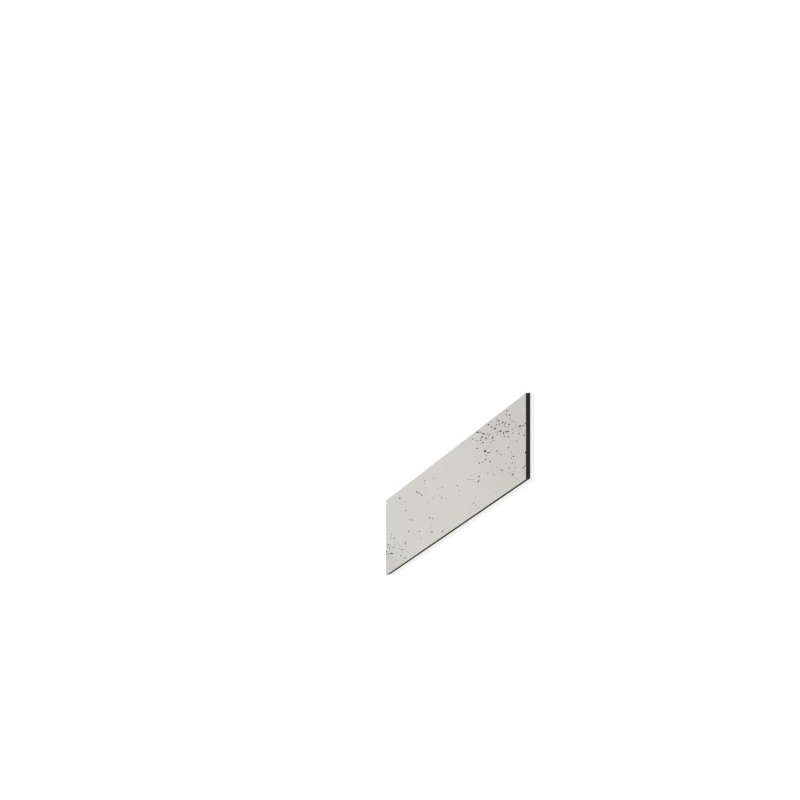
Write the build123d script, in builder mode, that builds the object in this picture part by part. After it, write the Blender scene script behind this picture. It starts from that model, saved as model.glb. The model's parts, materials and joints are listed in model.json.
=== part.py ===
from build123d import *

import os
from math import cos, radians, sin

# Driving dimensions, in millimetres and degrees.
LONG_EDGE = 520.0  # the sloping edges
END_EDGE = 200.0  # the mitred ends, plumb on the wall
SLOPE = 35.0  # rise of the long edges once the panel is on the wall
THICKNESS = 20.0
CORNER_RADIUS = 0.6  # plan corners, as the mould leaves them
ARRIS_RADIUS = 0.5  # eased edge round the show face
VOID_DEPTH = 0.5  # depth of an air void over its width
VOID_FLOOR = 0.45  # its floor over its mouth

# The larger air voids in the show face. Each has its share of the way along the
# long edge and up the end edge, its length and width, and its turn from the X axis.
LOWER_LEFT_VOIDS = [
    (0.047, 0.240, 10.0, 3.5, -27), (0.006, 0.310, 5.0, 3.5, 10), (0.020, 0.390, 4.5, 3.5, -20),
    (0.130, 0.196, 5.0, 3.0, -20), (0.122, 0.127, 4.5, 3.0, -20), (0.155, 0.056, 5.0, 3.5, 10),
    (0.158, 0.250, 11.0, 2.0, 45), (0.067, 0.417, 5.0, 3.0, 0), (0.046, 0.494, 3.5, 2.5, 0),
    (0.060, 0.305, 5.0, 2.5, -20),
]
MIDDLE_VOIDS = [
    (0.113, 0.890, 5.5, 3.0, 15), (0.247, 0.802, 5.5, 3.5, 15), (0.267, 0.762, 4.5, 2.5, 10),
    (0.283, 0.717, 6.0, 2.5, 12), (0.183, 0.370, 4.0, 2.5, 20), (0.268, 0.270, 4.0, 3.0, 0),
    (0.346, 0.353, 5.0, 2.5, 0), (0.367, 0.315, 5.0, 2.0, 12), (0.362, 0.148, 5.5, 3.0, -20),
    (0.439, 0.068, 7.5, 2.5, -27), (0.431, 0.503, 4.5, 2.0, 0),
]
RIGHT_VOIDS = [
    (0.692, 0.371, 10.5, 2.5, 15), (0.698, 0.422, 4.5, 2.5, -5), (0.738, 0.675, 6.5, 5.0, -10),
    (0.763, 0.625, 11.5, 2.5, -12), (0.740, 0.572, 8.0, 2.0, 12), (0.850, 0.298, 5.0, 3.0, -15),
    (0.894, 0.267, 6.5, 2.0, 12), (0.917, 0.162, 8.5, 2.5, 18), (0.922, 0.368, 4.5, 3.0, 0),
    (0.986, 0.152, 5.0, 3.0, 30), (0.842, 0.495, 4.0, 2.5, -10), (0.770, 0.510, 4.5, 3.0, -10),
]
UPPER_RIGHT_VOIDS = [
    (0.687, 0.972, 8.5, 4.0, -25), (0.727, 0.897, 8.0, 3.5, -35), (0.716, 0.871, 6.5, 4.0, 10),
    (0.743, 0.823, 7.0, 3.0, 65), (0.803, 0.857, 6.5, 3.5, 12), (0.828, 0.912, 6.5, 2.5, 12),
    (0.787, 0.769, 8.5, 3.0, 20), (0.838, 0.778, 7.5, 3.5, 10), (0.858, 0.728, 8.0, 3.0, 75),
    (0.876, 0.718, 6.0, 4.0, -30), (0.889, 0.704, 4.5, 3.0, -20), (0.854, 0.859, 6.0, 3.0, 12),
    (0.871, 0.830, 5.5, 2.0, 25), (0.894, 0.782, 5.0, 3.0, -20), (0.899, 0.880, 5.5, 3.0, 12),
    (0.964, 0.665, 5.5, 4.0, 10), (0.984, 0.641, 5.0, 3.0, 15),
]
EDGE_VOIDS = [(0.999, 0.313, 6.0, 4.0, 0), (1.000, 0.648, 4.5, 3.0, 10)]
AIR_VOIDS = LOWER_LEFT_VOIDS + MIDDLE_VOIDS + RIGHT_VOIDS + UPPER_RIGHT_VOIDS + EDGE_VOIDS

# The plan: the ends lean along X by the slope, so the panel is a parallelogram
# about the origin, with its long edges along X.
along = Vector(LONG_EDGE, 0)
up = Vector(END_EDGE * sin(radians(SLOPE)), END_EDGE * cos(radians(SLOPE)))
near_left = (along + up) * -0.5

with BuildPart() as panel:
    with BuildSketch():
        with BuildLine():
            Polyline(near_left, near_left + along, near_left + along + up, near_left + up, close=True)
        make_face()
        fillet(vertices(), radius=CORNER_RADIUS)
    extrude(amount=THICKNESS)
    show_face = faces().sort_by(Axis.Z)[-1]
    fillet(show_face.edges(), radius=ARRIS_RADIUS)
    for share_along, share_up, length, width, turn in AIR_VOIDS:
        centre = near_left + along * share_along + up * share_up
        mouth = Plane(Location((centre.X, centre.Y, THICKNESS), (0, 0, turn)))
        with BuildSketch(mouth):
            Ellipse(length / 2, width / 2)
        with BuildSketch(mouth.offset(-width * VOID_DEPTH)):
            Ellipse(length / 2 * VOID_FLOOR, width / 2 * VOID_FLOOR)
        loft(ruled=True, mode=Mode.SUBTRACT)

panel.part.label = "panel"
os.makedirs("parts", exist_ok=True)
export_step(panel.part, "parts/panel.step")
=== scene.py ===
# %% [markdown]
# # A concrete wall panel
#
# The real object is one casting: a flat parallelogram of fine pale concrete for facing
# a wall. Its show face is smooth, and pitted where air was trapped against the mould.
# This lesson models that casting at full size, lying on its back, and gives each of its
# surfaces its own finish.

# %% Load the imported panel
import json
import math
import random

import bmesh
import bpy
from mathutils import Matrix, Vector

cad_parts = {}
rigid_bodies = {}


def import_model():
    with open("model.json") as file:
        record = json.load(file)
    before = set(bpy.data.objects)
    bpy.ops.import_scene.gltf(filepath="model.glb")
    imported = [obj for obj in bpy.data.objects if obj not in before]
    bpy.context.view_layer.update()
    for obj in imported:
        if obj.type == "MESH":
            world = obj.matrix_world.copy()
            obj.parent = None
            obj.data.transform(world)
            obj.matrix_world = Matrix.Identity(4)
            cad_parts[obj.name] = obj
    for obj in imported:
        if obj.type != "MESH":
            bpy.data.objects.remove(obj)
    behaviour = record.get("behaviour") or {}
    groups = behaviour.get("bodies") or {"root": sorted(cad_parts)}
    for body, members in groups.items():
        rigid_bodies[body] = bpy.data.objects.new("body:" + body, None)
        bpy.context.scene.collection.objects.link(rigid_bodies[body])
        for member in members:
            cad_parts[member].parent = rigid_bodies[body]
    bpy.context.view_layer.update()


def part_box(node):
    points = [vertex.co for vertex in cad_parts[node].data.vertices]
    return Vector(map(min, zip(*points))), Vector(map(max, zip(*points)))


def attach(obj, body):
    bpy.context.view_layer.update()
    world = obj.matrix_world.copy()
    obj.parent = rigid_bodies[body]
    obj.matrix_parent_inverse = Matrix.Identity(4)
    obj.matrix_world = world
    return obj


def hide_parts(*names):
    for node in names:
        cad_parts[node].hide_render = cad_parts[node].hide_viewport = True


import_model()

# %% [markdown]
# ## Sizes
#
# Everything is in metres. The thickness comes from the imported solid, and the edges and
# the slope are the panel's own driving sizes. A place on the face could be given by X and
# Y, but two shares are easier, one along the long edge and one up the end edge, because
# those are the two directions of a parallelogram.

# %% Sizes and places on the panel
LONG_EDGE = 0.520
END_EDGE = 0.200
SLOPE = math.radians(35)

box_low, box_high = (Vector(corner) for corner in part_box("panel"))
THICKNESS = box_high.z - box_low.z

across = Vector((math.cos(SLOPE), -math.sin(SLOPE), 0))
plumb = Vector((math.sin(SLOPE), math.cos(SLOPE), 0))
outward = Vector((0, 0, 1))
along_edge = Vector((LONG_EDGE, 0, 0))
up_end = plumb * END_EDGE
lower_left = (along_edge + up_end) * -0.5


def on_panel(share_along, share_up, height=THICKNESS):
    """The point at these shares of the two edges, at a height over the floor."""
    return lower_left + along_edge * share_along + up_end * share_up + outward * height


print("Thickness", round(THICKNESS, 4), "and width across the board", round(up_end.y, 4))

# %% [markdown]
# ## The camera
#
# The photograph looks at the face from its right, with the plumb ends upright in the
# picture. The panel lies on the floor here, so the camera leans over with it: its right
# and up directions are the panel's own across and plumb directions, turned about the
# plumb one. Tilting it down to frame the panel would make the plumb ends converge, so a
# small vertical shift does that instead, and they stay parallel.

# %% Camera
VIEW_TURN = math.radians(39.6)
CAMERA_ACROSS = 1.317
CAMERA_PLUMB = 0.568
CAMERA_OUT = 1.533
LENS_MM = 34.1
SENSOR_MM = 36.0
FRAME_PIXELS = 800
EYE_LINE_PIXEL = 362.5

camera_right = across * math.cos(VIEW_TURN) - outward * math.sin(VIEW_TURN)
camera_back = across * math.sin(VIEW_TURN) + outward * math.cos(VIEW_TURN)
camera_turn = Matrix((camera_right, plumb, camera_back)).transposed()
camera_place = on_panel(0, 0) + across * CAMERA_ACROSS + plumb * CAMERA_PLUMB + outward * CAMERA_OUT
bpy.ops.object.camera_add(location=camera_place, rotation=camera_turn.to_euler())
camera = bpy.context.active_object
camera.data.lens = LENS_MM
camera.data.sensor_width = SENSOR_MM
camera.data.shift_y = (EYE_LINE_PIXEL - FRAME_PIXELS / 2) / FRAME_PIXELS
bpy.context.scene.camera = camera


def picture_place(point):
    """Where a point falls in the square picture, in pixels from its upper left."""
    seen = camera_turn.transposed() @ (point - camera_place)
    scale = FRAME_PIXELS * LENS_MM / SENSOR_MM / -seen.z
    return FRAME_PIXELS / 2 + seen.x * scale, EYE_LINE_PIXEL - seen.y * scale


for shares in ((0, 1), (0, 0), (1, 0), (1, 1)):
    print("Corner", shares, "falls at", [round(value, 1) for value in picture_place(on_panel(*shares))])

# %% [markdown]
# ## The blank
#
# The casting could be extruded from a drawn outline, but a block of the board's length,
# width and thickness needs no outline: moving its far long edge one way and its near one
# the other makes the parallelogram. The plan corners are then bevelled: one radius needs
# a wide bevel on the sharp pair and a narrow one on the blunt pair, and a profile that
# brings the middle of the bevel onto the arc. Last comes the arris, the eased edge round
# the show face.

# %% A helper for selecting by place
def select_where(kind, test):
    """In edit mode, selects the verts, edges or faces that pass a test."""
    mesh = bmesh.from_edit_mesh(bpy.context.edit_object.data)
    bpy.context.tool_settings.mesh_select_mode = [kind == name for name in ("verts", "edges", "faces")]
    bpy.ops.mesh.select_all(action="DESELECT")
    for item in getattr(mesh, kind):
        item.select_set(test(item))
    mesh.select_flush_mode()
    bmesh.update_edit_mesh(bpy.context.edit_object.data)


# %% Model the blank
CORNER_RADIUS = 0.0006
CORNER_STEPS = 6
ARRIS_RADIUS = 0.0005
ARRIS_STEPS = 3

bpy.ops.object.select_all(action="DESELECT")
bpy.ops.mesh.primitive_cube_add(
    size=1,
    location=(0, 0, THICKNESS / 2),
    scale=(LONG_EDGE, up_end.y, THICKNESS),
)
panel = bpy.context.active_object
panel.name = "concrete_panel"
bpy.ops.object.transform_apply(location=True, rotation=True, scale=True)

bpy.ops.object.mode_set(mode="EDIT")
for side in (-1, 1):
    select_where("verts", lambda vert: vert.co.y * side > 0)
    bpy.ops.transform.translate(value=(side * up_end.x / 2, 0, 0))


def is_upright(edge):
    """True for an edge that runs through the thickness."""
    return abs(edge.verts[0].co.z - edge.verts[1].co.z) > THICKNESS / 2


def arc_profile(half_angle):
    """The profile that brings the middle of a corner's bevel onto an arc."""
    return (1 - 0.5 / (1 + math.sin(half_angle))) ** 2


for sharp, half_angle in ((True, (math.pi / 2 - SLOPE) / 2), (False, (math.pi / 2 + SLOPE) / 2)):
    select_where(
        "edges",
        lambda edge: is_upright(edge) and (abs(edge.verts[0].co.x) > LONG_EDGE / 2) == sharp,
    )
    bpy.ops.mesh.bevel(
        offset=CORNER_RADIUS / math.tan(half_angle),
        segments=CORNER_STEPS,
        profile=arc_profile(half_angle),
        affect="EDGES",
    )

select_where("edges", lambda edge: all(vert.co.z > THICKNESS / 2 for vert in edge.verts))
bpy.ops.mesh.bevel(offset=ARRIS_RADIUS, segments=ARRIS_STEPS, affect="EDGES")
bpy.ops.object.mode_set(mode="OBJECT")
print("Blank:", len(panel.data.polygons), "faces, size", [round(value, 4) for value in panel.dimensions])

# %% [markdown]
# ## Finishes
#
# The same concrete looks different on each surface. The show face is smooth and pale.
# The arris is paler still, partly rubbed and partly a painted highlight along the edge.
# The sides are greyer, partly from the mould and partly as painted shade. The back is the
# open side of the mould, drawn off with a straight edge. The walls of the voids are rough
# and hold dust, and they are painted darker still as painted shade in the hollows. All
# five share one recipe: two close colours in soft patches, and a sandy grain that varies
# the roughness and the bump. The patterns are worked out from the place of each point, so
# the mesh needs no unwrapping and shows no seam.

# %% Helpers for materials
def linear_level(value):
    """A screen value from 0 to 255, as the shader's linear level."""
    share = value / 255
    return share / 12.92 if share < 0.04045 else ((share + 0.055) / 1.055) ** 2.4


def screen_colour(red, green, blue):
    """A colour written in screen values, as the shader's linear numbers."""
    return (linear_level(red), linear_level(green), linear_level(blue), 1)


def fill(tree, socket, value):
    """Sets a socket to a value, or links it where the value is another node's output."""
    if isinstance(value, bpy.types.NodeSocket):
        tree.links.new(value, socket)
    else:
        socket.default_value = value


def add_node(tree, kind, **inputs):
    """Adds a shader node and fills its inputs, whose names have _ in place of a space."""
    node = tree.nodes.new("ShaderNode" + kind)
    for name, value in inputs.items():
        fill(tree, node.inputs[name.replace("_", " ")], value)
    return node


def blend_colour(tree, factor, first, second):
    """Mixes two colours by a factor, and gives the mixed colour's output."""
    mix = add_node(tree, "Mix", Factor=factor)
    mix.data_type = "RGBA"
    first_socket, second_socket = (socket for socket in mix.inputs if socket.type == "RGBA")
    fill(tree, first_socket, first)
    fill(tree, second_socket, second)
    return next(socket for socket in mix.outputs if socket.type == "RGBA")


print("Half of the screen's range is a linear level of", round(linear_level(255 / 2), 3))

# %% The shared recipe
MILLIMETRE = 0.001
PATCH_LOW = 0.35
PATCH_HIGH = 0.65
SAND_SIZE = 0.0008
SAND_DEPTH = 0.0003
SMOOTHEST = 0.80
ROUGHEST = 0.98
DUSTY_GLOSS = 0.05


def concrete(name, pale, dark, patch_size, grain, stretch=(1, 1, 1)):
    """Concrete in patches of two close colours, with a sandy grain."""
    material = bpy.data.materials.new(name)
    material.use_nodes = True
    tree = material.node_tree
    place = add_node(tree, "TexCoord").outputs["Object"]
    drawn_out = add_node(tree, "Mapping", Vector=place, Scale=stretch)
    drawn_place = drawn_out.outputs["Vector"]
    patches = add_node(tree, "TexNoise", Vector=drawn_place, Scale=1 / patch_size, Detail=3)
    cloud = patches.outputs["Fac"]
    spread = add_node(tree, "MapRange", Value=cloud, From_Min=PATCH_LOW, From_Max=PATCH_HIGH)
    sand = add_node(tree, "TexNoise", Vector=place, Scale=1 / SAND_SIZE, Detail=2)
    rough = add_node(tree, "MapRange", Value=sand.outputs["Fac"], To_Min=SMOOTHEST, To_Max=ROUGHEST)
    bump = add_node(tree, "Bump", Height=sand.outputs["Fac"], Strength=grain, Distance=SAND_DEPTH)
    shader = tree.nodes["Principled BSDF"]
    shader.inputs["Specular IOR Level"].default_value = DUSTY_GLOSS
    fill(tree, shader.inputs["Base Color"], blend_colour(tree, spread.outputs["Result"], pale, dark))
    fill(tree, shader.inputs["Roughness"], rough.outputs["Result"])
    fill(tree, shader.inputs["Normal"], bump.outputs["Normal"])
    return material


print("Sand grain:", round(SAND_SIZE / MILLIMETRE, 2), "mm")

# %% The five finishes
show_face = concrete(
    "show_face",
    pale=screen_colour(212, 211, 203),
    dark=screen_colour(210, 209, 203),
    patch_size=0.110,
    grain=0.12,
)
# The dark walls of the voids are partly dust and partly painted shade in the hollows.
void_dust_and_shade = concrete(
    "void_dust_and_shade",
    pale=screen_colour(112, 108, 100),
    dark=screen_colour(74, 71, 65),
    patch_size=0.003,
    grain=0.6,
)
# The sides are greyer than the face, partly from the mould and partly as painted shade.
side_grey_and_shade = concrete(
    "side_grey_and_shade",
    pale=screen_colour(184, 182, 174),
    dark=screen_colour(170, 168, 160),
    patch_size=0.012,
    grain=0.25,
)
drawn_back = concrete(
    "drawn_back",
    pale=screen_colour(184, 182, 174),
    dark=screen_colour(168, 166, 158),
    patch_size=0.016,
    grain=0.8,
    stretch=(0.4, 1, 1),
)
# The arris is paler than the face, partly from rubbing and partly as a painted highlight.
arris_wear_and_highlight = concrete(
    "arris_wear_and_highlight",
    pale=screen_colour(220, 219, 212),
    dark=screen_colour(205, 204, 197),
    patch_size=0.012,
    grain=0.3,
)
FINISHES = [show_face, void_dust_and_shade, side_grey_and_shade, drawn_back, arris_wear_and_highlight]
print("Finishes:", [finish.name for finish in FINISHES])

# %% [markdown]
# Two more things show in cast concrete: darker sand grains behind the skin, and pinholes
# too fine to cut. Both are laid over the colour that is already there, each by a factor
# from its own pattern, and the pinholes are pressed into the bump as well. The pinholes'
# darker tone is painted shade, standing in for the shade inside each hole.

# %% Sand grains and pinholes
GRAIN_SIZE = 0.0011
GRAIN_START = 0.62
GRAIN_FULL = 0.78
GRAIN_STRENGTH = 0.7
PINHOLE_SPACING = 0.004
PINHOLE_RADIUS = 0.09
PINHOLE_DEPTH = 0.0003


def object_place(material):
    """The Object coordinates that a finish's patterns read."""
    return material.node_tree.nodes["Texture Coordinate"].outputs["Object"]


def paint_over(material, factor, tone):
    """Lays a tone over a finish's colour, by a factor."""
    tree = material.node_tree
    base = tree.nodes["Principled BSDF"].inputs["Base Color"]
    fill(tree, base, blend_colour(tree, factor, base.links[0].from_socket, tone))


def add_grains(material, tone):
    """Lets sand grains of a darker tone show through a finish."""
    tree = material.node_tree
    grains = add_node(tree, "TexNoise", Vector=object_place(material), Scale=1 / GRAIN_SIZE, Detail=1)
    shown = add_node(
        tree,
        "MapRange",
        Value=grains.outputs["Fac"],
        From_Min=GRAIN_START,
        From_Max=GRAIN_FULL,
        To_Max=GRAIN_STRENGTH,
    )
    paint_over(material, shown.outputs["Result"], tone)


def add_pinholes_and_shade(material, tone):
    """Pricks a finish with pinholes, painted with a darker tone as painted shade inside them."""
    tree = material.node_tree
    cells = add_node(tree, "TexVoronoi", Vector=object_place(material), Scale=1 / PINHOLE_SPACING)
    holes = add_node(
        tree,
        "MapRange",
        Value=cells.outputs["Distance"],
        From_Min=PINHOLE_RADIUS,
        From_Max=PINHOLE_RADIUS / 2,
    )
    paint_over(material, holes.outputs["Result"], tone)
    normal = tree.nodes["Principled BSDF"].inputs["Normal"]
    pricked = add_node(
        tree,
        "Bump",
        Height=holes.outputs["Result"],
        Normal=normal.links[0].from_socket,
        Strength=1,
        Distance=PINHOLE_DEPTH,
    )
    pricked.invert = True
    fill(tree, normal, pricked.outputs["Normal"])


pinhole_width = 2 * PINHOLE_RADIUS * PINHOLE_SPACING
print("Pinholes up to", round(pinhole_width / MILLIMETRE, 2), "mm wide")

# %% [markdown]
# The show face is painted a little darker towards the right-hand end, as painted shade
# where the light falls off across the face, and a little darker round the lower left tip.
# The tones go on first, and the grains and pinholes over them.

# %% Tones, grains and pinholes
# The far tone is painted shade: a fall-off of light painted towards the right-hand end.
FAR_PAINTED_SHADE = screen_colour(203, 202, 195)
FAR_START = 0.05
FAR_END = 0.22
TIP_TONE = screen_colour(205, 204, 198)
TIP_INNER = 0.060
TIP_OUTER = 0.090

tree = show_face.node_tree
axes = add_node(tree, "SeparateXYZ", Vector=object_place(show_face))
far = add_node(tree, "MapRange", Value=axes.outputs["X"], From_Min=FAR_START, From_Max=FAR_END)
paint_over(show_face, far.outputs["Result"], FAR_PAINTED_SHADE)

from_tip = add_node(tree, "VectorMath")
from_tip.operation = "DISTANCE"
fill(tree, from_tip.inputs[0], object_place(show_face))
fill(tree, from_tip.inputs[1], on_panel(0, 0))
tip = add_node(tree, "MapRange", Value=from_tip.outputs["Value"], From_Min=TIP_OUTER, From_Max=TIP_INNER)
paint_over(show_face, tip.outputs["Result"], TIP_TONE)

add_grains(show_face, screen_colour(186, 184, 176))
add_grains(side_grey_and_shade, screen_colour(154, 152, 145))
add_grains(drawn_back, screen_colour(142, 140, 133))
# The pinhole tones are painted shade inside the holes.
add_pinholes_and_shade(show_face, screen_colour(150, 147, 139))
add_pinholes_and_shade(side_grey_and_shade, screen_colour(122, 119, 112))
print("Show face nodes:", len(show_face.node_tree.nodes))

# %% [markdown]
# Each face of the blank takes its finish by the way it points. The big planes stay flat
# shaded, and the arris and the corners, which are curved on the real casting, are
# shaded smooth.

# %% Finish the blank's faces
LEVEL = 0.999


def finish_for(normal):
    """The finish of a face of the blank that points this way."""
    if normal.z > LEVEL:
        return show_face
    if normal.z < -LEVEL:
        return drawn_back
    return arris_wear_and_highlight if normal.z > 1 - LEVEL else side_grey_and_shade


end_way = Vector((plumb.y, -plumb.x, 0))
for finish in FINISHES:
    panel.data.materials.append(finish)
for face in panel.data.polygons:
    face.material_index = FINISHES.index(finish_for(face.normal))
    flatness = max(abs(face.normal.z), abs(face.normal.y), abs(face.normal.dot(end_way)))
    face.use_smooth = flatness < LEVEL
print("Smooth faces:", sum(face.use_smooth for face in panel.data.polygons))

# %% [markdown]
# ## Air voids
#
# Concrete cast against a mould traps bubbles. They crowd where the mix was worked last
# and thin out elsewhere, and each is a small lumpy hollow with a crisp rim. A bump
# pattern would be quicker, but a bump has no rim and no shade of its own, so the hollows
# are cut from the casting. A few lumpy master bubbles are modelled, and copies of them,
# turned and stretched, are sunk at every place where the panel has a void.

# %% Master bubbles
MASTERS = 8
LARGE_DETAIL = 3
SMALL_DETAIL = 2
BUBBLE_LUMP = 0.5
LUMP_SIZE = 0.45
MASTER_GAP = 3.0

lumps = bpy.data.textures.new("bubble_lumps", "CLOUDS")
lumps.noise_scale = LUMP_SIZE


def master_bubble(number, detail):
    """A lumpy ball about 1 across, its lumps taken from where it stands in a row."""
    bpy.ops.object.select_all(action="DESELECT")
    bpy.ops.mesh.primitive_ico_sphere_add(
        subdivisions=detail,
        radius=0.5,
        location=(number * MASTER_GAP, 0, 0),
    )
    bubble = bpy.context.active_object
    swell = bubble.modifiers.new("swell", "DISPLACE")
    swell.texture = lumps
    swell.texture_coords = "GLOBAL"
    swell.strength = BUBBLE_LUMP
    bpy.ops.object.modifier_apply(modifier="swell")
    bubble.location = (0, 0, 0)
    bpy.ops.object.shade_smooth()
    for finish in FINISHES:
        bubble.data.materials.append(finish)
    for face in bubble.data.polygons:
        face.material_index = FINISHES.index(void_dust_and_shade)
    return bubble


large_masters = [master_bubble(number, LARGE_DETAIL) for number in range(MASTERS)]
small_masters = [master_bubble(MASTERS + number, SMALL_DETAIL) for number in range(MASTERS)]
print("Master bubbles:", len(large_masters), "large and", len(small_masters), "small")

# %% Sink a bubble
BUBBLE_DEPTH = (0.90, 1.20)
SMALL_WIDTH = (0.45, 0.75)

chance = random.Random(35)
bubbles = bpy.data.collections.new("bubbles")
bpy.context.scene.collection.children.link(bubbles)


def sink_bubble(masters, place, length, width, turn):
    """Puts a stretched copy of a master bubble at a place, its long axis turned from X."""
    master = chance.choice(masters)
    bubble = master.copy()
    bubble.data = master.data.copy()
    stretch = Matrix.Diagonal((length, width, width * chance.uniform(*BUBBLE_DEPTH), 1))
    spin = Matrix.Rotation(chance.uniform(0, math.tau), 4, "Z")
    flip = Matrix.Rotation(chance.choice((0, math.pi)), 4, "X")
    aim = Matrix.Translation(place) @ Matrix.Rotation(turn, 4, "Z")
    bubble.data.transform(aim @ stretch @ spin @ flip)
    bubbles.objects.link(bubble)


def sink_small(place, length, turn):
    """Sinks a small bubble, its width drawn at random."""
    sink_bubble(small_masters, place, length, length * chance.uniform(*SMALL_WIDTH), turn)


print("A bubble goes in by", [share / 2 for share in BUBBLE_DEPTH], "of its width")

# %% [markdown]
# The larger voids are the ones that the solid has too. Each is given by the two shares of
# its place, its length and width in millimetres and its turn in degrees. They crowd at the
# lower left and, thickest of all, at the upper right. A real one is seldom a plain oval,
# so two smaller bubbles break out of the ends of each.

# %% Larger voids
LOWER_LEFT_VOIDS = [
    (0.047, 0.240, 10.0, 3.5, -27), (0.006, 0.310, 5.0, 3.5, 10), (0.020, 0.390, 4.5, 3.5, -20),
    (0.130, 0.196, 5.0, 3.0, -20), (0.122, 0.127, 4.5, 3.0, -20), (0.155, 0.056, 5.0, 3.5, 10),
    (0.158, 0.250, 11.0, 2.0, 45), (0.067, 0.417, 5.0, 3.0, 0), (0.046, 0.494, 3.5, 2.5, 0),
    (0.060, 0.305, 5.0, 2.5, -20),
]
MIDDLE_VOIDS = [
    (0.113, 0.890, 5.5, 3.0, 15), (0.247, 0.802, 5.5, 3.5, 15), (0.267, 0.762, 4.5, 2.5, 10),
    (0.283, 0.717, 6.0, 2.5, 12), (0.183, 0.370, 4.0, 2.5, 20), (0.268, 0.270, 4.0, 3.0, 0),
    (0.346, 0.353, 5.0, 2.5, 0), (0.367, 0.315, 5.0, 2.0, 12), (0.362, 0.148, 5.5, 3.0, -20),
    (0.439, 0.068, 7.5, 2.5, -27), (0.431, 0.503, 4.5, 2.0, 0),
]
RIGHT_VOIDS = [
    (0.692, 0.371, 10.5, 2.5, 15), (0.698, 0.422, 4.5, 2.5, -5), (0.738, 0.675, 6.5, 5.0, -10),
    (0.763, 0.625, 11.5, 2.5, -12), (0.740, 0.572, 8.0, 2.0, 12), (0.850, 0.298, 5.0, 3.0, -15),
    (0.894, 0.267, 6.5, 2.0, 12), (0.917, 0.162, 8.5, 2.5, 18), (0.922, 0.368, 4.5, 3.0, 0),
    (0.986, 0.152, 5.0, 3.0, 30), (0.842, 0.495, 4.0, 2.5, -10), (0.770, 0.510, 4.5, 3.0, -10),
]
UPPER_RIGHT_VOIDS = [
    (0.687, 0.972, 8.5, 4.0, -25), (0.727, 0.897, 8.0, 3.5, -35), (0.716, 0.871, 6.5, 4.0, 10),
    (0.743, 0.823, 7.0, 3.0, 65), (0.803, 0.857, 6.5, 3.5, 12), (0.828, 0.912, 6.5, 2.5, 12),
    (0.787, 0.769, 8.5, 3.0, 20), (0.838, 0.778, 7.5, 3.5, 10), (0.858, 0.728, 8.0, 3.0, 75),
    (0.876, 0.718, 6.0, 4.0, -30), (0.889, 0.704, 4.5, 3.0, -20), (0.854, 0.859, 6.0, 3.0, 12),
    (0.871, 0.830, 5.5, 2.0, 25), (0.894, 0.782, 5.0, 3.0, -20), (0.899, 0.880, 5.5, 3.0, 12),
    (0.964, 0.665, 5.5, 4.0, 10), (0.984, 0.641, 5.0, 3.0, 15),
]
EDGE_VOIDS = [(0.999, 0.313, 6.0, 4.0, 0), (1.000, 0.648, 4.5, 3.0, 10)]
LARGER_VOIDS = LOWER_LEFT_VOIDS + MIDDLE_VOIDS + RIGHT_VOIDS + UPPER_RIGHT_VOIDS + EDGE_VOIDS
END_SHARE = (0.55, 0.90)
END_REACH = 0.32

for share_along, share_up, length_mm, width_mm, degrees in LARGER_VOIDS:
    place = on_panel(share_along, share_up)
    length = length_mm * MILLIMETRE
    width = width_mm * MILLIMETRE
    turn = math.radians(degrees)
    reach = Vector((math.cos(turn), math.sin(turn), 0)) * length * END_REACH
    sink_bubble(large_masters, place, length, width, turn)
    for end in (-1, 1):
        sink_small(place + reach * end, width * chance.uniform(*END_SHARE), chance.uniform(0, math.pi))
print("Larger voids:", len(LARGER_VOIDS))

# %% [markdown]
# The finer voids fill in the crowds between the larger ones. One bubble each is enough,
# and they need no width or turn of their own: most lie roughly along the board, as the mix
# was pushed, so the turn is drawn at random about that direction.

# %% Finer voids
LOWER_LEFT_FINE = [
    (0.040, 0.455, 3.5), (0.069, 0.365, 3.0), (0.037, 0.360, 4.0), (0.030, 0.335, 4.5),
    (0.005, 0.275, 3.0), (0.022, 0.265, 4.0), (0.025, 0.243, 3.5), (0.055, 0.178, 2.0),
    (0.078, 0.315, 3.0), (0.097, 0.315, 3.0), (0.102, 0.280, 3.0), (0.112, 0.280, 3.0),
    (0.105, 0.240, 3.0), (0.088, 0.205, 2.5), (0.055, 0.270, 1.5), (0.152, 0.172, 3.5),
    (0.140, 0.145, 2.5), (0.055, 0.040, 2.5), (0.170, 0.125, 2.0), (0.010, 0.385, 3.0),
]
MIDDLE_FINE = [
    (0.130, 0.785, 2.5), (0.155, 0.785, 2.5), (0.163, 0.665, 4.0), (0.193, 0.508, 4.0),
    (0.210, 0.485, 4.0), (0.245, 0.300, 2.0), (0.280, 0.165, 3.5), (0.308, 0.870, 5.0),
    (0.307, 0.835, 3.0), (0.372, 0.818, 3.5), (0.436, 0.622, 3.5), (0.405, 0.645, 2.0),
    (0.328, 0.567, 3.5), (0.370, 0.565, 3.0), (0.420, 0.540, 2.5), (0.448, 0.485, 2.0),
    (0.465, 0.445, 3.0), (0.488, 0.480, 2.5), (0.360, 0.220, 2.5), (0.455, 0.060, 1.5),
    (0.340, 0.350, 2.5), (0.470, 0.830, 2.0),
]
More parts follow.
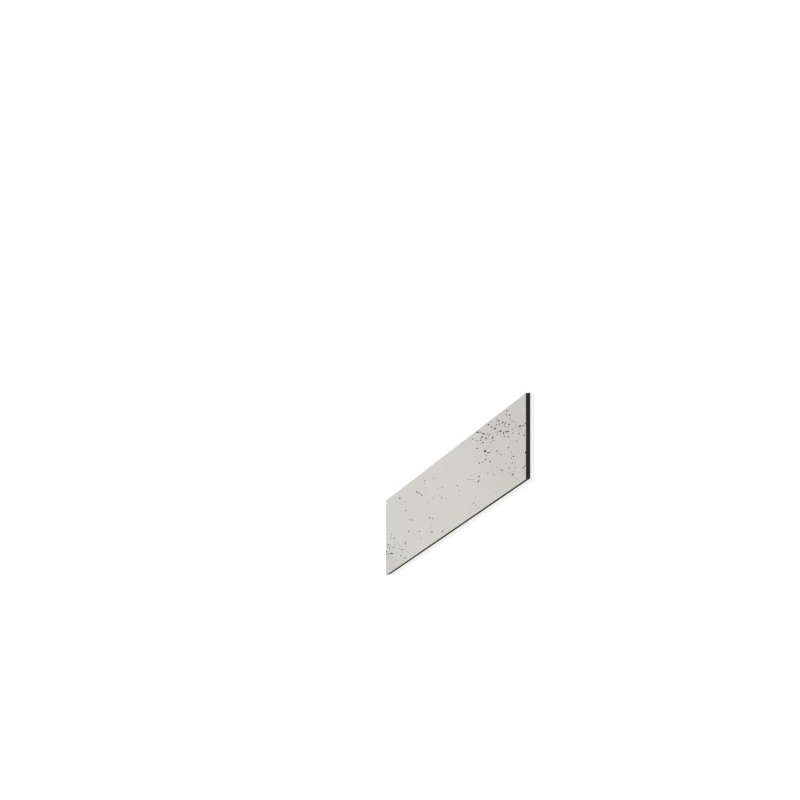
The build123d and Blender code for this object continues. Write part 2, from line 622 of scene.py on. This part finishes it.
RIGHT_FINE = [
    (0.547, 0.503, 5.0), (0.560, 0.425, 4.0), (0.590, 0.515, 2.0), (0.620, 0.490, 3.5),
    (0.637, 0.510, 3.0), (0.638, 0.465, 3.5), (0.658, 0.437, 2.5), (0.668, 0.397, 2.5),
    (0.612, 0.615, 2.5), (0.633, 0.057, 3.5), (0.660, 0.145, 4.0), (0.675, 0.105, 3.5),
    (0.672, 0.210, 2.5), (0.675, 0.690, 2.5), (0.653, 0.935, 4.0), (0.683, 0.875, 4.5),
    (0.706, 0.850, 5.0), (0.723, 0.800, 4.5), (0.708, 0.805, 3.0), (0.683, 0.780, 4.5),
    (0.690, 0.735, 2.0), (0.698, 0.585, 5.0), (0.720, 0.562, 3.5), (0.745, 0.610, 3.5),
    (0.703, 0.465, 2.0), (0.690, 0.830, 1.5), (0.745, 0.985, 2.5), (0.760, 0.965, 4.5),
    (0.775, 0.915, 4.0), (0.785, 0.900, 4.5), (0.755, 0.860, 4.0), (0.771, 0.828, 4.5),
    (0.760, 0.825, 4.0), (0.760, 0.785, 2.0), (0.817, 0.945, 3.5), (0.835, 0.865, 4.5),
    (0.813, 0.885, 3.5), (0.865, 0.820, 3.0), (0.867, 0.795, 4.5), (0.820, 0.765, 3.0),
    (0.775, 0.730, 3.5), (0.790, 0.730, 4.5), (0.865, 0.680, 3.5), (0.888, 0.645, 4.0),
    (0.880, 0.960, 5.0), (0.876, 0.920, 4.0), (0.903, 0.835, 3.5), (0.913, 0.782, 4.5),
    (0.930, 0.780, 2.5), (0.935, 0.745, 2.5), (0.933, 0.715, 3.0), (0.917, 0.700, 2.5),
    (0.920, 0.675, 3.0), (0.917, 0.648, 3.0), (0.948, 0.680, 3.0), (0.958, 0.587, 5.0),
    (0.972, 0.613, 2.0), (0.988, 0.525, 4.5), (0.942, 0.520, 3.5), (0.890, 0.515, 4.0),
    (0.815, 0.575, 4.5), (0.785, 0.455, 2.0), (0.908, 0.435, 3.0), (0.910, 0.365, 4.0),
    (0.915, 0.300, 4.0), (0.930, 0.285, 2.5), (0.935, 0.220, 2.5), (0.875, 0.350, 2.5),
    (0.837, 0.330, 3.0), (0.840, 0.265, 2.5), (0.855, 0.260, 2.0), (0.884, 0.220, 2.5),
    (0.872, 0.215, 2.5), (0.897, 0.205, 3.5), (0.925, 0.190, 2.0), (0.815, 0.380, 3.0),
    (0.795, 0.317, 4.0), (0.755, 0.385, 3.0), (0.765, 0.195, 2.0), (0.985, 0.080, 2.5),
    (0.705, 0.948, 4.0), (0.880, 0.775, 3.0), (0.890, 0.740, 3.0), (0.865, 0.470, 2.5),
    (0.992, 0.168, 4.0), (0.775, 0.980, 4.0), (0.745, 0.770, 1.5), (0.730, 0.715, 2.5),
    (0.714, 0.928, 2.5), (0.817, 0.795, 3.5), (0.945, 0.075, 2.5),
]
FINER_VOIDS = LOWER_LEFT_FINE + MIDDLE_FINE + RIGHT_FINE
FINE_TURN = math.radians(10)
FINE_SPREAD = math.radians(20)

for share_along, share_up, length_mm in FINER_VOIDS:
    turn = chance.gauss(FINE_TURN, FINE_SPREAD)
    sink_small(on_panel(share_along, share_up), length_mm * MILLIMETRE, turn)
print("Finer voids:", len(FINER_VOIDS))

# %% [markdown]
# Round every void lie two specks, about a millimetre across. The sides and the back trap
# small bubbles as well. They are too many and too small to place one by one, so their
# places are drawn at random, from a fixed seed, and come out the same every time.

# %% Specks round the voids
SPECKS_EACH = 2
SPECK_LENGTH = (0.7, 1.5)
SPECK_DRIFT = 11.0

for share_along, share_up, *_ in LARGER_VOIDS + FINER_VOIDS:
    for _ in range(SPECKS_EACH):
        drift = Vector((chance.gauss(0, SPECK_DRIFT), chance.gauss(0, SPECK_DRIFT), 0))
        place = on_panel(share_along, share_up) + drift * MILLIMETRE
        length = chance.uniform(*SPECK_LENGTH) * MILLIMETRE
        sink_small(place, length, chance.uniform(0, math.pi))

# %% Bubbles of the sides and the back
LONG_SIDE_BUBBLES = 14
END_BUBBLES = 4
BACK_BUBBLES = 60
SIDE_LENGTH = (0.8, 2.0)
SIDE_HEIGHT = (0.1, 0.85)

for share in (0, 1):
    for _ in range(LONG_SIDE_BUBBLES):
        place = on_panel(chance.random(), share, THICKNESS * chance.uniform(*SIDE_HEIGHT))
        sink_small(place, chance.uniform(*SIDE_LENGTH) * MILLIMETRE, 0)
    for _ in range(END_BUBBLES):
        place = on_panel(share, chance.random(), THICKNESS * chance.uniform(*SIDE_HEIGHT))
        sink_small(place, chance.uniform(*SIDE_LENGTH) * MILLIMETRE, 0)
for _ in range(BACK_BUBBLES):
    place = on_panel(chance.random(), chance.random(), 0)
    length = chance.uniform(*SIDE_LENGTH) * MILLIMETRE
    sink_small(place, length, chance.uniform(0, math.pi))

# %% [markdown]
# One Boolean modifier cuts them all. A modifier for each bubble would be slow, but one
# works on a whole collection, and the cut faces keep the bubbles' own finish and smooth
# shading.

# %% Cut the voids
cut = panel.modifiers.new("voids", "BOOLEAN")
cut.operation = "DIFFERENCE"
cut.operand_type = "COLLECTION"
cut.collection = bubbles
cut.solver = "MANIFOLD"
bpy.ops.object.select_all(action="DESELECT")
bpy.context.view_layer.objects.active = panel
bpy.ops.object.modifier_apply(modifier="voids")
for bubble in list(bubbles.objects) + large_masters + small_masters:
    bpy.data.objects.remove(bubble)
bpy.data.collections.remove(bubbles)
for number, finish in enumerate(FINISHES):
    print(finish.name, "on", sum(face.material_index == number for face in panel.data.polygons), "faces")

# %% [markdown]
# The cut leaves some edges that are too short to see. Merging points by distance could
# open the mesh, so it is split into triangles instead and the short edges are dissolved,
# which keeps it closed. Where two bubbles break into each other the concrete has a crisp
# edge, so the sharp edges are marked as such.

# %% Clean the cut
SHORTEST_EDGE = 0.01 * MILLIMETRE
CREASE = math.radians(50)

bpy.ops.object.mode_set(mode="EDIT")
bpy.ops.mesh.select_all(action="SELECT")
bpy.ops.mesh.quads_convert_to_tris()
bpy.ops.mesh.dissolve_degenerate(threshold=SHORTEST_EDGE)
select_where("edges", lambda edge: edge.calc_face_angle(0) > CREASE)
bpy.ops.mesh.mark_sharp()
select_where("edges", lambda edge: not edge.is_manifold)
bpy.ops.object.mode_set(mode="OBJECT")
print("Open edges:", sum(edge.select for edge in panel.data.edges))
triangles = sum(len(face.vertices) - 2 for face in panel.data.polygons)
print("Panel with voids:", triangles, "triangles")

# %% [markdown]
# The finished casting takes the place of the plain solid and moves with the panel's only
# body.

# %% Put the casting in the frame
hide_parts("panel")
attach(panel, "root")
print("In the frame:", panel.name)

# %% [markdown]
# ## Floor
#
# The floor is plain. It shows white to the camera and in reflections, with a pale shadow
# beside the panel's edges. A white floor in strong light would do that too, but it would
# light the sides of the panel as well, so this one is dark to all other light and throws
# very little back.

# %% Helpers for the background
def picture_rays(tree):
    """A value of 1 for camera, glossy and transmission rays, and 0 for all others."""
    path = add_node(tree, "LightPath")
    total = path.outputs["Is Camera Ray"]
    for name in ("Is Glossy Ray", "Is Transmission Ray"):
        either = add_node(tree, "Math")
        either.operation = "MAXIMUM"
        fill(tree, either.inputs[0], total)
        fill(tree, either.inputs[1], path.outputs[name])
        total = either.outputs["Value"]
    return total


def grey(level):
    """A neutral colour of this linear level."""
    return (level, level, level, 1)


# %% Floor
FLOOR_SIZE = 14.0
FLOOR_GLOW = 0.86
FLOOR_SHADE = 0.18
FLOOR_BOUNCE = 0.05

bpy.ops.object.select_all(action="DESELECT")
bpy.ops.mesh.primitive_plane_add(size=FLOOR_SIZE)
floor = bpy.context.active_object
floor.name = "floor"
white_ground = bpy.data.materials.new("white_ground")
white_ground.use_nodes = True
tree = white_ground.node_tree
tree.nodes.remove(tree.nodes["Principled BSDF"])
glow = add_node(tree, "Emission", Color=grey(1), Strength=FLOOR_GLOW)
shade = add_node(tree, "BsdfDiffuse", Color=grey(FLOOR_SHADE))
bounce = add_node(tree, "BsdfDiffuse", Color=grey(FLOOR_BOUNCE))
shown = add_node(tree, "AddShader")
fill(tree, shown.inputs[0], glow.outputs["Emission"])
fill(tree, shown.inputs[1], shade.outputs["BSDF"])
choice = add_node(tree, "MixShader", Fac=picture_rays(tree))
fill(tree, choice.inputs[1], bounce.outputs["BSDF"])
fill(tree, choice.inputs[2], shown.outputs["Shader"])
fill(tree, tree.nodes["Material Output"].inputs["Surface"], choice.outputs["Shader"])
floor.data.materials.append(white_ground)
print("Floor:", FLOOR_SIZE, "m square")

# %% [markdown]
# ## Light
#
# One broad lamp stands to the upper left of the picture, so the lower side and the
# right-hand end of the panel lie in deep shade. A sun lamp with a wide angle gives soft
# edges and the same level everywhere, and the faint sky light makes up the rest, so that
# a colour on the level face renders about as it is written.

# %% Lamp
SKY_LEVEL = 0.07
LAMP_RISE = math.radians(60)
LAMP_SIDE = Vector((-0.55, 0.83, 0)).normalized()
LAMP_SPREAD = math.radians(24)

lamp_way = LAMP_SIDE * math.cos(LAMP_RISE) + outward * math.sin(LAMP_RISE)
lamp_turn = lamp_way.to_track_quat("Z", "Y").to_euler()
bpy.ops.object.light_add(type="SUN", location=lamp_way, rotation=lamp_turn)
lamp = bpy.context.active_object
lamp.data.angle = LAMP_SPREAD
lamp.data.energy = math.pi * (1 - SKY_LEVEL) / math.sin(LAMP_RISE)
print("Lamp strength:", round(lamp.data.energy, 2))

# %% Sky
studio = bpy.data.worlds.new("studio")
bpy.context.scene.world = studio
studio.use_nodes = True
tree = studio.node_tree
sky = tree.nodes["Background"]
sky.inputs["Color"].default_value = grey(1)
level = add_node(tree, "MapRange", Value=picture_rays(tree), To_Min=SKY_LEVEL, To_Max=1.0)
fill(tree, sky.inputs["Strength"], level.outputs["Result"])
bpy.context.scene.view_settings.view_transform = "Standard"
print("Sky level:", SKY_LEVEL)
